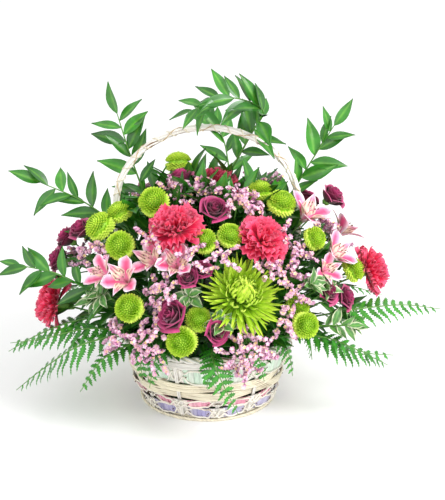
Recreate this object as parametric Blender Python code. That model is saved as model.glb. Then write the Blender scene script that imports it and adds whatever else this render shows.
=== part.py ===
"""Flower basket arrangement: an arched-handle woven basket with a liner and a foam block,
filled with cut stems that each end in the foam.

Metres, +Z up. The origin is the centre of the flat underside of the basket's base.
The front of the arrangement faces -Y, and the handle's arch stands in the XZ plane."""

import math

import bpy
from mathutils import Matrix, Vector

MM = 0.001
UP = Vector((0, 0, 1))
CONTACT_GAP = 0.3 * MM

# Basket wall: height and radius of the line that the stakes follow
WALL_LINE = [(0, 77.0), (31, 88.6), (41, 91.6), (54, 94.6), (76, 100.6), (88, 106.0)]
STAKES = 12
FIRST_STAKE_ANGLE = math.radians(-82)
STAKE_WIDTH = 4.0 * MM
STAKE_THICKNESS = 2.0 * MM
STAKE_TOP = 86.8 * MM
STAKE_BOTTOM = 1.0 * MM
BASE_RADIUS = 78.7 * MM
BASE_THICKNESS = 4.0 * MM
BASE_SIDES = 36
FOOT_CORD_RADIUS = 1.9 * MM
FOOT_RING_RADIUS = BASE_RADIUS + FOOT_CORD_RADIUS + 3 * CONTACT_GAP

# Woven courses: name, lowest height, highest height, +1 where it passes outside the first stake
COURSES = [
    ("band_lavender", 4.6, 19.7, 1),
    ("band_pink", 20.1, 30.9, -1),
    ("band_reed_lower", 31.4, 42.4, 1),
    ("band_reed_upper", 42.9, 53.6, -1),
    ("band_mint", 54.1, 75.8, 1),
    ("band_top", 76.2, 86.6, -1),
]
COURSE_SEGMENTS = 3 * STAKES
COURSE_THICKNESS = 2.0 * MM
WEAVE = 2.6 * MM

RIM_RADIUS = 107.7 * MM
RIM_CORD_RADIUS = 4.2 * MM
RIM_HEIGHT = 91.5 * MM
RIM_SEGMENTS = 36
RING_SIDES = 6

# Handle: half of its line from the foot of a leg up to where the arch starts, as (x, z)
HANDLE_LEG = [(79.8, 30), (92.0, 76), (98.4, 91.5), (103.0, 130), (106.5, 180), (108, 245)]
HANDLE_RADIUS = 4.2 * MM
ARCH_HEIGHT = 96 * MM
ARCH_STEPS = 16
HANDLE_SIDES = 8

LINER_BOTTOM = (66.0 * MM, 4.4 * MM)
LINER_TOP = (86.5 * MM, 88.0 * MM)
LINER_WALL = 1.5 * MM
LINER_SIDES = 24

FOAM_CLEARANCE = 0.4 * MM
FOAM_SHOULDER = (80.0 * MM, 112.0 * MM)
FOAM_TOP = (66.0 * MM, 122.0 * MM)
SOCKET_CLEARANCE = 0.35 * MM

# Every cut stem points at this hub, deep in the foam, so that stems never cross there
HUB = Vector((0, 0, 70)) * MM
LOWEST_STEM_SLOPE = math.radians(16)
ROOT_DISTANCE = 30 * MM
ROOT_DISTANCE_LOW_STEM = 22 * MM
FORK_DISTANCE = 0.62
RIM_REACH = 122 * MM
STEM_SIDES = 4
BRANCH_SHARE = 0.7

# Blooms: place of each bloom's centre in millimetres, and its radius
CARNATIONS = {
    "carnation_front_left": [(-36, -86, 252, 30)],
    "carnation_front_right": [(66, -84, 237, 28)],
    "carnation_left": [(-190, -25, 132, 27)],
    "carnation_right": [(199, -14, 171, 27)],
    "carnation_top": [(12, 2, 276, 24)],
    "carnation_back": [(52, 108, 222, 28)],
}
SPIDER_MUMS = {"spider_mum": [(42, -122, 184, 41)]}
POMPONS = {
    "pompons_left": [(-126, -45, 236, 18), (-103, -32, 249, 15), (-100, -82, 226, 17)],
    "pompons_top_left": [(-62, -50, 268, 18), (-35, 30, 290, 16)],
    "pompon_lower_left": [(-89, -120, 164, 17)],
    "pompons_front": [(-29, -144, 132, 18), (-9, -130, 155, 15)],
    "pompons_centre": [(-3, -94, 236, 15), (27, -86, 240, 15)],
    "pompons_top_right": [(87, -42, 264, 17), (62, -16, 270, 15), (126, -60, 226, 14)],
    "pompon_right": [(174, -36, 178, 15)],
    "pompons_lower_right": [(114, -118, 141, 16), (106, -98, 157, 14)],
    "pompons_back": [(-70, 104, 222, 18), (-96, 104, 186, 17), (-40, 92, 245, 16)],
}
ROSES = {
    "roses_left": [(-178, -18, 184, 14), (-168, -8, 208, 13), (-149, -24, 224, 13)],
    "rosebuds_centre": [(-21, -120, 201, 10), (-4, -112, 208, 9)],
    "roses_front": [(-39, -136, 162, 16), (12, -142, 144, 12)],
    "roses_top": [(9, -60, 262, 14), (-32, 0, 281, 13)],
    "roses_upper_right": [(150, 22, 250, 14), (122, 74, 226, 15)],
    "roses_right": [(161, -72, 158, 13), (140, -90, 171, 12)],
    "roses_back": [(84, 120, 182, 15), (54, 136, 170, 14), (106, 104, 172, 13)],
}
ALSTROEMERIAS = {
    "alstroemeria_left": [(-96, -108, 196, 19), (-122, -90, 195, 18)],
    "alstroemeria_centre": [(-64, -98, 216, 19), (-34, -112, 216, 18)],
    "alstroemeria_top_right": [(120, -38, 252, 22)],
    "alstroemeria_right": [(153, -46, 204, 21), (164, -8, 221, 19), (140, -76, 193, 15)],
    "alstroemeria_back": [(-20, 118, 238, 20), (8, 138, 215, 19)],
}
STATICES = {
    "statice_lower_left": [
        (-104, -118, 127, 11), (-78, -130, 129, 12), (-62, -138, 117, 12), (-57, -134, 142, 10)
    ],
    "statice_front_left": [(-44, -126, 189, 10), (-60, -118, 180, 10)],
    "statice_front": [(48, -138, 132, 11), (33, -146, 121, 11), (44, -142, 103, 11), (62, -138, 117, 12)],
    "statice_right": [(99, -112, 176, 11), (94, -100, 200, 11), (90, -126, 148, 10)],
    "statice_top": [(34, -40, 268, 11), (14, -30, 272, 10), (-12, -30, 274, 11), (54, -46, 262, 9)],
    "statice_back": [(150, 60, 186, 12), (136, 80, 174, 12), (160, 42, 172, 11)],
}

# Leafy sprigs: the line that the stem follows outside the foam, in millimetres, and its leaf count
RUSCUS = {
    "ruscus_tall_left": ([(-72, 22, 240), (-92, 25, 300), (-106, 25, 350)], 9),
    "ruscus_left": ([(-100, 20, 205), (-150, 28, 240), (-200, 28, 264)], 9),
    "ruscus_over_handle": (
        [(18, 24, 262), (52, 12, 330), (64, -12, 366), (24, -18, 382), (-16, -14, 366)], 12
    ),
    "ruscus_tall_right": ([(86, 34, 220), (122, 34, 285), (150, 30, 334)], 9),
    "ruscus_low_left": ([(-130, -52, 152), (-175, -48, 176), (-220, -40, 184)], 8),
    "ruscus_back": ([(30, 80, 230), (20, 110, 290), (0, 118, 320)], 9),
}
PITTOSPORUM = {
    "pittosporum_right": ([(134, -84, 126), (164, -98, 132)], 6),
    "pittosporum_back": ([(-30, 105, 130), (-50, 150, 135)], 7),
}
# Fern fronds: the same, with the half width of the frond and its number of leaflet pairs
FERNS = {
    "fern_left_long": ([(-100, -98, 122), (-150, -104, 108), (-196, -78, 66), (-229, -62, 32)], 36, 12),
    "fern_left_short": ([(-125, -46, 122), (-168, -46, 112), (-208, -40, 92), (-240, -34, 70)], 30, 10),
    "fern_front": ([(6, -122, 106), (10, -152, 104), (22, -158, 78), (36, -150, 44)], 24, 9),
    "fern_right_long": ([(130, -60, 128), (180, -62, 138), (232, -46, 136), (279, -30, 124)], 34, 12),
    "fern_right_low": ([(118, -80, 112), (152, -90, 101), (188, -80, 86), (214, -68, 68)], 28, 9),
    "fern_back": ([(30, 124, 110), (50, 160, 112), (66, 190, 84), (72, 204, 48)], 32, 10),
}
SPRIG_RADIUS = 1.2 * MM
SPRIG_TAPER = 0.45
BARE_STEM_SHARE = 0.3
STALK_WIDTH = 2.6 * MM
STALK_THICKNESS = 1.6 * MM
LEAFLET_SWEEP = 0.45
LEAFLET_SHARE = 0.78
LEAFLET_DROOP = 0.12
LEAFLET_TIP_THICKNESS = 0.6 * MM
BARE_STALK_SHARE = 0.12
LAST_LEAFLET_SHARE = 0.98

RUSCUS_LEAF = (42 * MM, 14 * MM)
PITTOSPORUM_LEAF = (26 * MM, 11 * MM)
LEAF_THICKNESS = 1.0 * MM

# Half outlines of the blooms, from the stem end to the face, as (radius, height) in bloom radii
POMPON_OUTLINE = [(0, -0.72), (0.6, -0.58), (1, -0.05), (0.9, 0.4), (0.45, 0.72), (0, 0.78)]
CARNATION_OUTLINE = [
    (0, -1.1), (0.2, -1.05), (0.27, -0.4), (0.98, 0.02), (0.9, 0.3), (0.45, 0.62), (0, 0.66)
]
ROSE_OUTLINE = [(0, -0.95), (0.35, -0.88), (0.92, -0.3), (1, 0.25), (0.62, 0.78), (0, 0.7)]
SPIDER_OUTLINE = [
    (0, -0.6), (0.35, -0.55), (0.92, -0.25), (1, 0.05), (0.72, 0.48), (0.3, 0.68), (0, 0.64)
]
FLORET_OUTLINE = [(0, -1.15), (0.16, -1.1), (0.56, -0.1), (1, 0.4), (0.5, 0.16), (0, -0.3)]
STATICE_OUTLINE = [(0, -1), (0.8, -0.6), (1, 0.1), (0.65, 0.75), (0, 0.95)]

# Bloom kinds: outline, sides, lobes round the edge, depth of the lobes, stem radius, material
BLOOM_KINDS = [
    (CARNATIONS, CARNATION_OUTLINE, 12, 6, 0.06, 1.9 * MM, "carnation"),
    (SPIDER_MUMS, SPIDER_OUTLINE, 16, 8, 0.07, 2.2 * MM, "spider_mum"),
    (POMPONS, POMPON_OUTLINE, 7, 0, 0.0, 1.5 * MM, "pompon"),
    (ROSES, ROSE_OUTLINE, 7, 0, 0.0, 1.5 * MM, "rose"),
    (ALSTROEMERIAS, FLORET_OUTLINE, 12, 6, 0.16, 1.6 * MM, "alstroemeria"),
    (STATICES, STATICE_OUTLINE, 6, 0, 0.0, 1.2 * MM, "statice"),
]

# Colour as sRGB hex, and roughness
FINISHES = {
    "willow": ("E9E3D2", 0.8),
    "lavender_chip": ("B9A9C9", 0.75),
    "pink_chip": ("E3B3C4", 0.75),
    "mint_chip": ("CFE3D2", 0.75),
    "liner": ("3C5A3A", 0.35),
    "foam": ("2F5B33", 0.9),
    "carnation": ("EE3364", 0.6),
    "spider_mum": ("A8D62C", 0.55),
    "pompon": ("A9D32A", 0.6),
    "rose": ("8E1C56", 0.55),
    "alstroemeria": ("F2A7C3", 0.5),
    "statice": ("D9A3C8", 0.7),
    "ruscus": ("2E6B2B", 0.4),
    "pittosporum": ("8FAE7C", 0.45),
    "fern": ("2F7A2C", 0.45),
}


def linear(channel):
    """One sRGB channel, from 0 to 255, as linear light."""
    share = channel / 255
    return share / 12.92 if share <= 0.04045 else ((share + 0.055) / 1.055) ** 2.4


def finish(name):
    """The Principled material of that name, made the first time that it is asked for."""
    if name in bpy.data.materials:
        return bpy.data.materials[name]
    code, roughness = FINISHES[name]
    material = bpy.data.materials.new(name)
    material.use_nodes = True
    shader = material.node_tree.nodes["Principled BSDF"]
    red, green, blue = (linear(int(code[i:i + 2], 16)) for i in (0, 2, 4))
    shader.inputs["Base Color"].default_value = (red, green, blue, 1)
    shader.inputs["Roughness"].default_value = roughness
    shader.inputs["Metallic"].default_value = 0
    return material


def new_object(name, shape, material, origin=(0, 0, 0)):
    """A mesh object made from (points, faces), with its origin at that point."""
    origin = Vector(origin)
    points, faces = shape
    mesh = bpy.data.meshes.new(name)
    mesh.from_pydata([Vector(p) - origin for p in points], [], faces)
    mesh.materials.append(finish(material))
    obj = bpy.data.objects.new(name, mesh)
    obj.location = origin
    obj.parent = ARRANGEMENT
    bpy.context.scene.collection.objects.link(obj)
    return obj


def boolean(target, name, shape, operation):
    """Joins that shape to the target, or cuts it away, with a wire-drawn helper object."""
    helper = new_object(name, shape, target.data.materials[0].name, target.location)
    helper.hide_render = True
    helper.display_type = "WIRE"
    modifier = target.modifiers.new(operation.title(), "BOOLEAN")
    modifier.operation = operation
    modifier.object = helper
    modifier.use_self = True


def smooth_shading(obj, angle=40):
    obj.data.shade_smooth()
    obj.data.set_sharp_from_angle(angle=math.radians(angle))


def joined(shapes):
    points, faces = [], []
    for more_points, more_faces in shapes:
        first = len(points)
        points += more_points
        faces += [[first + i for i in face] for face in more_faces]
    return points, faces


def moved(shape, matrix):
    points, faces = shape
    return [matrix @ Vector(p) for p in points], faces


def facing(direction, place):
    """The matrix that stands +Z along a direction, at a place."""
    return Matrix.Translation(place) @ direction.to_track_quat("Z", "Y").to_matrix().to_4x4()


def loft(rings, start_tip=None, end_tip=None):
    """A closed skin over rings of as many points each, that end in flat caps or in tips."""
    sides = len(rings[0])
    points = [p for ring in rings for p in ring]
    faces = []
    for lower in range(0, sides * (len(rings) - 1), sides):
        for i in range(sides):
            after = (i + 1) % sides
            faces.append([lower + i, lower + after, lower + sides + after, lower + sides + i])
    first, last = list(range(sides)), list(range(len(points) - sides, len(points)))
    for tip, ring in ((start_tip, first[::-1]), (end_tip, last)):
        if tip is None:
            faces.append(ring)
            continue
        points.append(tip)
        faces += [[ring[i], ring[(i + 1) % sides], len(points) - 1] for i in range(sides)]
    return points, faces


def hoop(sections):
    """A closed ring made of the same cross-section at each place round it."""
    sides, count = len(sections[0]), len(sections)
    points = [p for section in sections for p in section]
    faces = []
    for k in range(count):
        near, far = k * sides, (k + 1) % count * sides
        for i in range(sides):
            after = (i + 1) % sides
            faces.append([near + i, far + i, far + after, near + after])
    return points, faces


def turned(outline, sides, lobes=0, depth=0.0):
    """An outline that starts and ends on the axis, turned about Z. Lobes wave its wide part."""
    rings = []
    for radius, height in outline[1:-1]:
        ring = []
        for i in range(sides):
            angle = math.tau * i / sides
            reach = radius * (1 + depth * radius * math.cos(lobes * angle))
            ring.append(Vector((reach * math.cos(angle), reach * math.sin(angle), height)))
        rings.append(ring)
    return loft(rings, Vector((0, 0, outline[0][1])), Vector((0, 0, outline[-1][1])))


def tube(line, radii, sides):
    """A round rod along a line, whose cross-section doesn't twist."""
    side = None
    rings = []
    for i, place in enumerate(line):
        along = (line[min(i + 1, len(line) - 1)] - line[max(i - 1, 0)]).normalized()
        if side is None:
            side = along.orthogonal().normalized()
        side = (side - side.dot(along) * along).normalized()
        across = along.cross(side)
        turns = [math.tau * k / sides for k in range(sides)]
        rings.append([place + radii[i] * (math.cos(t) * side + math.sin(t) * across) for t in turns])
    return loft(rings)


def smooth_line(points, steps):
    """A Catmull-Rom curve through the points, with that many steps in each span."""
    ends = [2 * points[0] - points[1], *points, 2 * points[-1] - points[-2]]
    line = []
    for a, b, c, d in zip(ends, ends[1:], ends[2:], ends[3:]):
        for k in range(steps):
            t = k / steps
            line.append(
                0.5 * (2 * b + (c - a) * t + (2 * a - 5 * b + 4 * c - d) * t * t
                       + (3 * b - a - 3 * c + d) * t ** 3)
            )
    return [*line, points[-1]]


def wall_radius(height):
    """Radius of the stakes' line at a height, both in millimetres."""
    for (low, inner), (high, outer) in zip(WALL_LINE, WALL_LINE[1:]):
        if height <= high:
            return inner + (outer - inner) * (height - low) / (high - low)
    return WALL_LINE[-1][1]


def round_axis(angle, radius, height):
    return Vector((radius * math.cos(angle), radius * math.sin(angle), height))


def slab_corners(centre, side, out):
    """The corners of a rectangle, counter-clockwise where side, out and the way along are right-handed."""
    return [centre - side - out, centre + side - out, centre + side + out, centre - side + out]


def plank(line, face, width, thickness):
    """A flat strip along a line, with its broad side towards face."""
    rings = []
    for i, place in enumerate(line):
        along = (line[min(i + 1, len(line) - 1)] - line[max(i - 1, 0)]).normalized()
        out = (face - face.dot(along) * along).normalized() * thickness / 2
        rings.append(slab_corners(place, out.cross(along).normalized() * width / 2, out))
    return loft(rings)


def make_basket_frame():
    base = turned(
        [(0, 0), (BASE_RADIUS, 0), (BASE_RADIUS, BASE_THICKNESS), (0, BASE_THICKNESS)], BASE_SIDES
    )
    frame = new_object("basket_frame", base, "willow")
    heights = [STAKE_BOTTOM / MM, *(h for h, _ in WALL_LINE[1:-1]), STAKE_TOP / MM]
    stakes = []
    for k in range(STAKES):
        angle = FIRST_STAKE_ANGLE + math.tau * k / STAKES
        line = [round_axis(angle, wall_radius(h) * MM, h * MM) for h in heights]
        stakes.append(plank(line, round_axis(angle, 1, 0), STAKE_WIDTH, STAKE_THICKNESS))
    boolean(frame, "basket_frame_stakes", joined(stakes), "UNION")
    smooth_shading(frame)


def make_course(name, bottom, top, side, material):
    """One woven ring, which passes outside and inside the stakes in turn."""
    sections = []
    for k in range(COURSE_SEGMENTS):
        turn = math.tau * k / COURSE_SEGMENTS
        angle = FIRST_STAKE_ANGLE + turn
        swing = side * WEAVE * math.cos(STAKES / 2 * turn)
        corners = []
        for height, edge in ((bottom, 1), (top, 1), (top, -1), (bottom, -1)):
            radius = wall_radius(height) * MM + swing + edge * COURSE_THICKNESS / 2
            corners.append(round_axis(angle, radius, height * MM))
        sections.append(corners)
    smooth_shading(new_object(name, hoop(sections), material))


def make_cord_ring(name, ring_radius, cord_radius, height, segments):
    sections = []
    for k in range(segments):
        angle = math.tau * k / segments
        section = []
        for i in range(RING_SIDES):
            around = math.tau * i / RING_SIDES
            reach = cord_radius / math.cos(math.pi / RING_SIDES)
            radius = ring_radius + cord_radius * math.cos(around)
            section.append(round_axis(angle, radius, height + reach * math.sin(around)))
        sections.append(section)
    smooth_shading(new_object(name, hoop(sections), "willow"), 70)


def make_basket():
    make_basket_frame()
    make_cord_ring("foot_cord", FOOT_RING_RADIUS, FOOT_CORD_RADIUS, FOOT_CORD_RADIUS, COURSE_SEGMENTS)
    chips = {"band_lavender": "lavender_chip", "band_pink": "pink_chip", "band_mint": "mint_chip"}
    for name, bottom, top, side in COURSES:
        make_course(name, bottom, top, side, chips.get(name, "willow"))
    make_cord_ring("rim_hoop", RIM_RADIUS, RIM_CORD_RADIUS, RIM_HEIGHT, RIM_SEGMENTS)


def make_handle():
    leg = [Vector((x, 0, z)) * MM for x, z in HANDLE_LEG]
    half_span, spring = HANDLE_LEG[-1][0] * MM, HANDLE_LEG[-1][1] * MM
    arch = [
        Vector((half_span * math.cos(t), 0, spring + ARCH_HEIGHT * math.sin(t)))
        for t in (math.pi * k / ARCH_STEPS for k in range(1, ARCH_STEPS))
    ]
    other_leg = [Vector((-p.x, 0, p.z)) for p in reversed(leg)]
    line = leg + arch + other_leg
    handle = new_object("handle", tube(line, [HANDLE_RADIUS] * len(line), HANDLE_SIDES), "willow")
    smooth_shading(handle)


def make_liner():
    (low_radius, low), (top_radius, top) = LINER_BOTTOM, LINER_TOP
    outline = [
        (0, low), (low_radius, low), (top_radius, top), (top_radius - LINER_WALL, top),
        (low_radius - LINER_WALL, low + LINER_WALL), (0, low + LINER_WALL),
    ]
    smooth_shading(new_object("liner", turned(outline, LINER_SIDES), "liner"))


def root_of(direction):
    """Where a stem that leaves the hub in this direction ends inside the foam."""
    level = math.hypot(direction.x, direction.y)
    return HUB + direction * (ROOT_DISTANCE + ROOT_DISTANCE_LOW_STEM * level)


def raised(target):
    """The direction from the hub to a target, lifted where the stem would meet the rim."""
    direction = (target - HUB).normalized()
    slope = math.asin(direction.z)
    if slope >= LOWEST_STEM_SLOPE:
        return direction
    level = Vector((direction.x, direction.y, 0)).normalized()
    return level * math.cos(LOWEST_STEM_SLOPE) + UP * math.sin(LOWEST_STEM_SLOPE)


def fork_of(target):
    """Where a stem leaves its straight run from the hub, above and outside the rim."""
    direction = raised(target)
    reach = (target - HUB).length * FORK_DISTANCE
    if direction.z < math.sin(2 * LOWEST_STEM_SLOPE):
        reach = max(reach, RIM_REACH)
    return HUB + direction * reach, direction


def make_bloom_stem(name, blooms, outline, sides, lobes, depth, stem_radius, material):
    """One cut stem, with a branch and a bloom at each of its places."""
    places = [Vector(bloom[:3]) * MM for bloom in blooms]
    fork, direction = fork_of(sum(places, Vector()) / len(places))
    root = root_of(direction)
    head = turned(outline, sides, lobes, depth)
    tops = []
    for place, bloom in zip(places, blooms):
        size = bloom[3] * MM
        axis = (place - fork).normalized()
        neck = place + axis * (outline[0][1] * size + 2 * stem_radius)
        tops.append(moved(head, facing(axis, place) @ Matrix.Scale(size, 4)))
        branch = [fork - direction * stem_radius, neck]
        tops.append(tube(branch, [stem_radius * BRANCH_SHARE] * 2, STEM_SIDES))
    stem = new_object(name, tube([root, fork], [stem_radius] * 2, STEM_SIDES), material, root)
    boolean(stem, name + "_top", joined(tops), "UNION")
    smooth_shading(stem)
    SOCKETS.append((direction, stem_radius))


def stem_line(points):
    """The root, the way out of the foam and the rest of a sprig's or frond's line."""
    places = [Vector(p) * MM for p in points]
    direction = raised(places[0])
    start = HUB + direction * max((places[0] - HUB).length, RIM_REACH * math.cos(math.asin(direction.z)))
    return root_of(direction), [start, *places[1:]], direction


def leaf(base, direction, face, size):
    """A kite-shaped leaf of even thickness, widest before its middle."""
    length, width = size
    face = (face - face.dot(direction) * direction).normalized()
    across = face.cross(direction)
    rings = []
    for share, half in ((0, 0.12), (0.42, 0.5)):
        centre = base + direction * length * share
        rings.append(slab_corners(centre, across * width * half, face * LEAF_THICKNESS / 2))
    return loft(rings, end_tip=base + direction * length)


def make_leafy_sprig(name, points, leaves, leaf_size, spread, material):
    """A bare stem out of the foam, then leaves by turns on either side of it and one at its tip."""
    root, places, direction = stem_line(points)
    line = smooth_line(places, 3)
    last = len(line) - 1
    radii = [SPRIG_RADIUS * (1 - SPRIG_TAPER * i / last) for i in range(last + 1)]
    blades = []
    for k in range(leaves):
        position = last * (BARE_STEM_SHARE + (1 - BARE_STEM_SHARE) * k / (leaves - 1))
        i = min(int(position), last - 1)
        place = line[i].lerp(line[i + 1], position - i)
        along = (line[i + 1] - line[i]).normalized()
        face = (Vector((0, -0.7, 0)) + (place - HUB).normalized() * 0.6 + UP * 0.3).normalized()
        across = along.cross(face).normalized() * (1 if k % 2 else -1)
        lean = spread if k < leaves - 1 else 0
        blade = along * math.cos(lean) + across * math.sin(lean)
        blades.append(leaf(place - blade * SPRIG_RADIUS * 0.5, blade, face, leaf_size))
    stem = new_object(name, tube([root, *line], [SPRIG_RADIUS, *radii], STEM_SIDES), material, root)
    boolean(stem, name + "_leaves", joined(blades), "UNION")
    smooth_shading(stem)
    SOCKETS.append((direction, SPRIG_RADIUS))


def make_frond(name, points, half_width, pairs):
    """A fern frond, closed without a join: a flat stalk whose two edges run out into leaflets."""
    root, places, direction = stem_line(points)
    line = smooth_line(places, 24)
    lengths = [0.0]
    for a, b in zip(line, line[1:]):
        lengths.append(lengths[-1] + (b - a).length)

    def at(share):
        target = share * lengths[-1]
        i = next(k for k in range(1, len(line)) if lengths[k] >= target - 1e-9)
        span = (target - lengths[i - 1]) / (lengths[i] - lengths[i - 1])
        return line[i - 1].lerp(line[i], span), (line[i] - line[i - 1]).normalized()

    def frame_of(place, along):
        out = UP + Vector((place.x, place.y, 0)).normalized() * 0.7
        out = (out - out.dot(along) * along).normalized()
        return out.cross(along), out

    sections, tips = [], []
    for place in (root, line[0]):
        across, out = frame_of(place, direction)
        sections.append((place, across * STALK_WIDTH / 2, out * STALK_THICKNESS / 2))
    step = (LAST_LEAFLET_SHARE - BARE_STALK_SHARE) / pairs
    for k in range(pairs):
        share = BARE_STALK_SHARE + k * step
        narrow = 1 - 0.5 * share
        for part in (0, LEAFLET_SHARE):
            place, along = at(share + part * step)
            across, out = frame_of(place, along)
            sections.append((place, across * STALK_WIDTH / 2 * narrow, out * STALK_THICKNESS / 2 * narrow))
        reach = half_width * MM * min(1, 0.55 + 3 * k * step) * (1 - share) ** 0.75
        place, along = at(share + step / 2)
        across, out = frame_of(place, along)
        tip = place + along * reach * LEAFLET_SWEEP - out * reach * LEAFLET_DROOP
        tips.append((tip, across * reach, out * LEAFLET_TIP_THICKNESS / 2))

    points, faces = [], []
    for section in sections:
        points += slab_corners(*section)
    for k in range(len(sections) - 1):
        lower, upper = 4 * k, 4 * k + 4
        leaflet = k >= 2 and k % 2 == 0
        for i in range(4):
            if leaflet and i in (1, 3):
                continue
            faces.append([lower + i, lower + (i + 1) % 4, upper + (i + 1) % 4, upper + i])
        if leaflet:
            centre, across, out = tips[(k - 2) // 2]
            for sign, under, over in ((1, 1, 2), (-1, 0, 3)):
                bottom, top = len(points), len(points) + 1
                points += [centre + sign * across - out, centre + sign * across + out]
                rim = [
                    [upper + under, lower + under, bottom],
                    [lower + over, upper + over, top],
                    [lower + under, lower + over, top, bottom],
                    [upper + over, upper + under, bottom, top],
                ]
                faces += rim if sign == 1 else [face[::-1] for face in rim]
    faces.append([3, 2, 1, 0])
    end = len(points)
    points.append(line[-1])
    last = 4 * (len(sections) - 1)
    faces += [[last + i, last + (i + 1) % 4, end] for i in range(4)]
    smooth_shading(new_object(name, (points, faces), "fern", root), 30)
    SOCKETS.append((direction, math.hypot(STALK_WIDTH, STALK_THICKNESS) / 2))


def make_foam():
    """The foam block, which follows the liner with a little room, with a socket for each stem."""
    lean = (LINER_TOP[0] - LINER_BOTTOM[0]) / (LINER_TOP[1] - LINER_BOTTOM[1])
    floor = LINER_BOTTOM[1] + LINER_WALL + FOAM_CLEARANCE
    inside = LINER_WALL * 1.1 + FOAM_CLEARANCE
    low_radius = LINER_BOTTOM[0] + lean * (floor - LINER_BOTTOM[1]) - inside
    outline = [
        (0, floor), (low_radius, floor), (LINER_TOP[0] - inside, LINER_TOP[1]),
        FOAM_SHOULDER, FOAM_TOP, (0, FOAM_TOP[1]),
    ]
    foam = new_object("foam", turned(outline, LINER_SIDES), "foam")
    sockets = []
    for direction, stem_radius in SOCKETS:
        radius = (stem_radius + SOCKET_CLEARANCE) / math.cos(math.pi / STEM_SIDES)
        line = [root_of(direction) - direction * SOCKET_CLEARANCE, HUB + direction * RIM_REACH]
        sockets.append(tube(line, [radius] * 2, STEM_SIDES))
    boolean(foam, "foam_sockets", joined(sockets), "DIFFERENCE")


for leftover in list(bpy.data.objects):
    bpy.data.objects.remove(leftover, do_unlink=True)

ARRANGEMENT = bpy.data.objects.new("flower_basket_arrangement", None)
bpy.context.scene.collection.objects.link(ARRANGEMENT)
SOCKETS = []

make_basket()
make_handle()
make_liner()
for stems, *shape in BLOOM_KINDS:
    for stem_name, bloom_places in stems.items():
        make_bloom_stem(stem_name, bloom_places, *shape)
for sprig_name, (sprig_line, leaf_count) in RUSCUS.items():
    make_leafy_sprig(sprig_name, sprig_line, leaf_count, RUSCUS_LEAF, math.radians(48), "ruscus")
for sprig_name, (sprig_line, leaf_count) in PITTOSPORUM.items():
    make_leafy_sprig(sprig_name, sprig_line, leaf_count, PITTOSPORUM_LEAF, math.radians(60), "pittosporum")
for frond_name, (frond_line, frond_width, leaflet_pairs) in FERNS.items():
    make_frond(frond_name, frond_line, frond_width, leaflet_pairs)
make_foam()
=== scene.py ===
import math
import random

import bpy
import numpy as np
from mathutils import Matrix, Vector


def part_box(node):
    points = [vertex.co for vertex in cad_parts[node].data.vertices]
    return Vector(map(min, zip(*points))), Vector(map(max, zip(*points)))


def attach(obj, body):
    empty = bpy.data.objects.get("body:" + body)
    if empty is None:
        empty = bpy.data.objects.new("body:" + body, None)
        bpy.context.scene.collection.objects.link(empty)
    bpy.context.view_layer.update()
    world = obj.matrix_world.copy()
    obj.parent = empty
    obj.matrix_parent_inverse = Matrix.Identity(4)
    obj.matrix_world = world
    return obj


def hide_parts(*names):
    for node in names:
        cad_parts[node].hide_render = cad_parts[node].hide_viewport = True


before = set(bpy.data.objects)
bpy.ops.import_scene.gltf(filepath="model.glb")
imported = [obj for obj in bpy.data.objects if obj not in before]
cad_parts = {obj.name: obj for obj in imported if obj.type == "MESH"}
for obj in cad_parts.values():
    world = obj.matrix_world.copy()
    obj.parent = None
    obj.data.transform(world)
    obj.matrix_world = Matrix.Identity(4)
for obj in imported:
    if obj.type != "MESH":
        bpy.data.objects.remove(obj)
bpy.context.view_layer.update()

MM = 0.001
TURN = math.tau
UP = np.array((0, 0, 1.0))
GOLDEN_ANGLE = math.radians(137.508)  # each petal of a spiral stands this far round from the last
SEED = 7
rng = random.Random(SEED)

# ---------------------------------------------------------------- layout, as in the CAD model
# Blooms are (x, y, z, radius) in millimetres. Sprigs are a line of points and a number of leaves.
# Fronds are a line of points, half the frond's width and a number of leaflet pairs.
HUB = np.array((0, 0, 70)) * MM
LOWEST_STEM_SLOPE = math.radians(16)
ROOT_DISTANCE = 30 * MM
ROOT_DISTANCE_LOW_STEM = 22 * MM
FORK_DISTANCE = 0.62
RIM_REACH = 122 * MM

CARNATIONS = {
    "carnation_front_left": [(-36, -86, 252, 30)],
    "carnation_front_right": [(66, -84, 237, 28)],
    "carnation_left": [(-190, -25, 132, 27)],
    "carnation_right": [(199, -14, 171, 27)],
    "carnation_top": [(12, 2, 276, 24)],
    "carnation_back": [(52, 108, 222, 28)],
}
SPIDER_MUMS = {"spider_mum": [(42, -122, 184, 41)]}
POMPONS = {
    "pompons_left": [(-126, -45, 236, 18), (-103, -32, 249, 15), (-100, -82, 226, 17)],
    "pompons_top_left": [(-62, -50, 268, 18), (-35, 30, 290, 16)],
    "pompon_lower_left": [(-89, -120, 164, 17)],
    "pompons_front": [(-29, -144, 132, 18), (-9, -130, 155, 15)],
    "pompons_centre": [(-3, -94, 236, 15), (27, -86, 240, 15)],
    "pompons_top_right": [(87, -42, 264, 17), (62, -16, 270, 15), (126, -60, 226, 14)],
    "pompon_right": [(174, -36, 178, 15)],
    "pompons_lower_right": [(114, -118, 141, 16), (106, -98, 157, 14)],
    "pompons_back": [(-70, 104, 222, 18), (-96, 104, 186, 17), (-40, 92, 245, 16)],
}
ROSES = {
    "roses_left": [(-178, -18, 184, 14), (-168, -8, 208, 13), (-149, -24, 224, 13)],
    "rosebuds_centre": [(-21, -120, 201, 10), (-4, -112, 208, 9)],
    "roses_front": [(-39, -136, 162, 16), (12, -142, 144, 12)],
    "roses_top": [(9, -60, 262, 14), (-32, 0, 281, 13)],
    "roses_upper_right": [(150, 22, 250, 14), (122, 74, 226, 15)],
    "roses_right": [(161, -72, 158, 13), (140, -90, 171, 12)],
    "roses_back": [(84, 120, 182, 15), (54, 136, 170, 14), (106, 104, 172, 13)],
}
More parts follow.
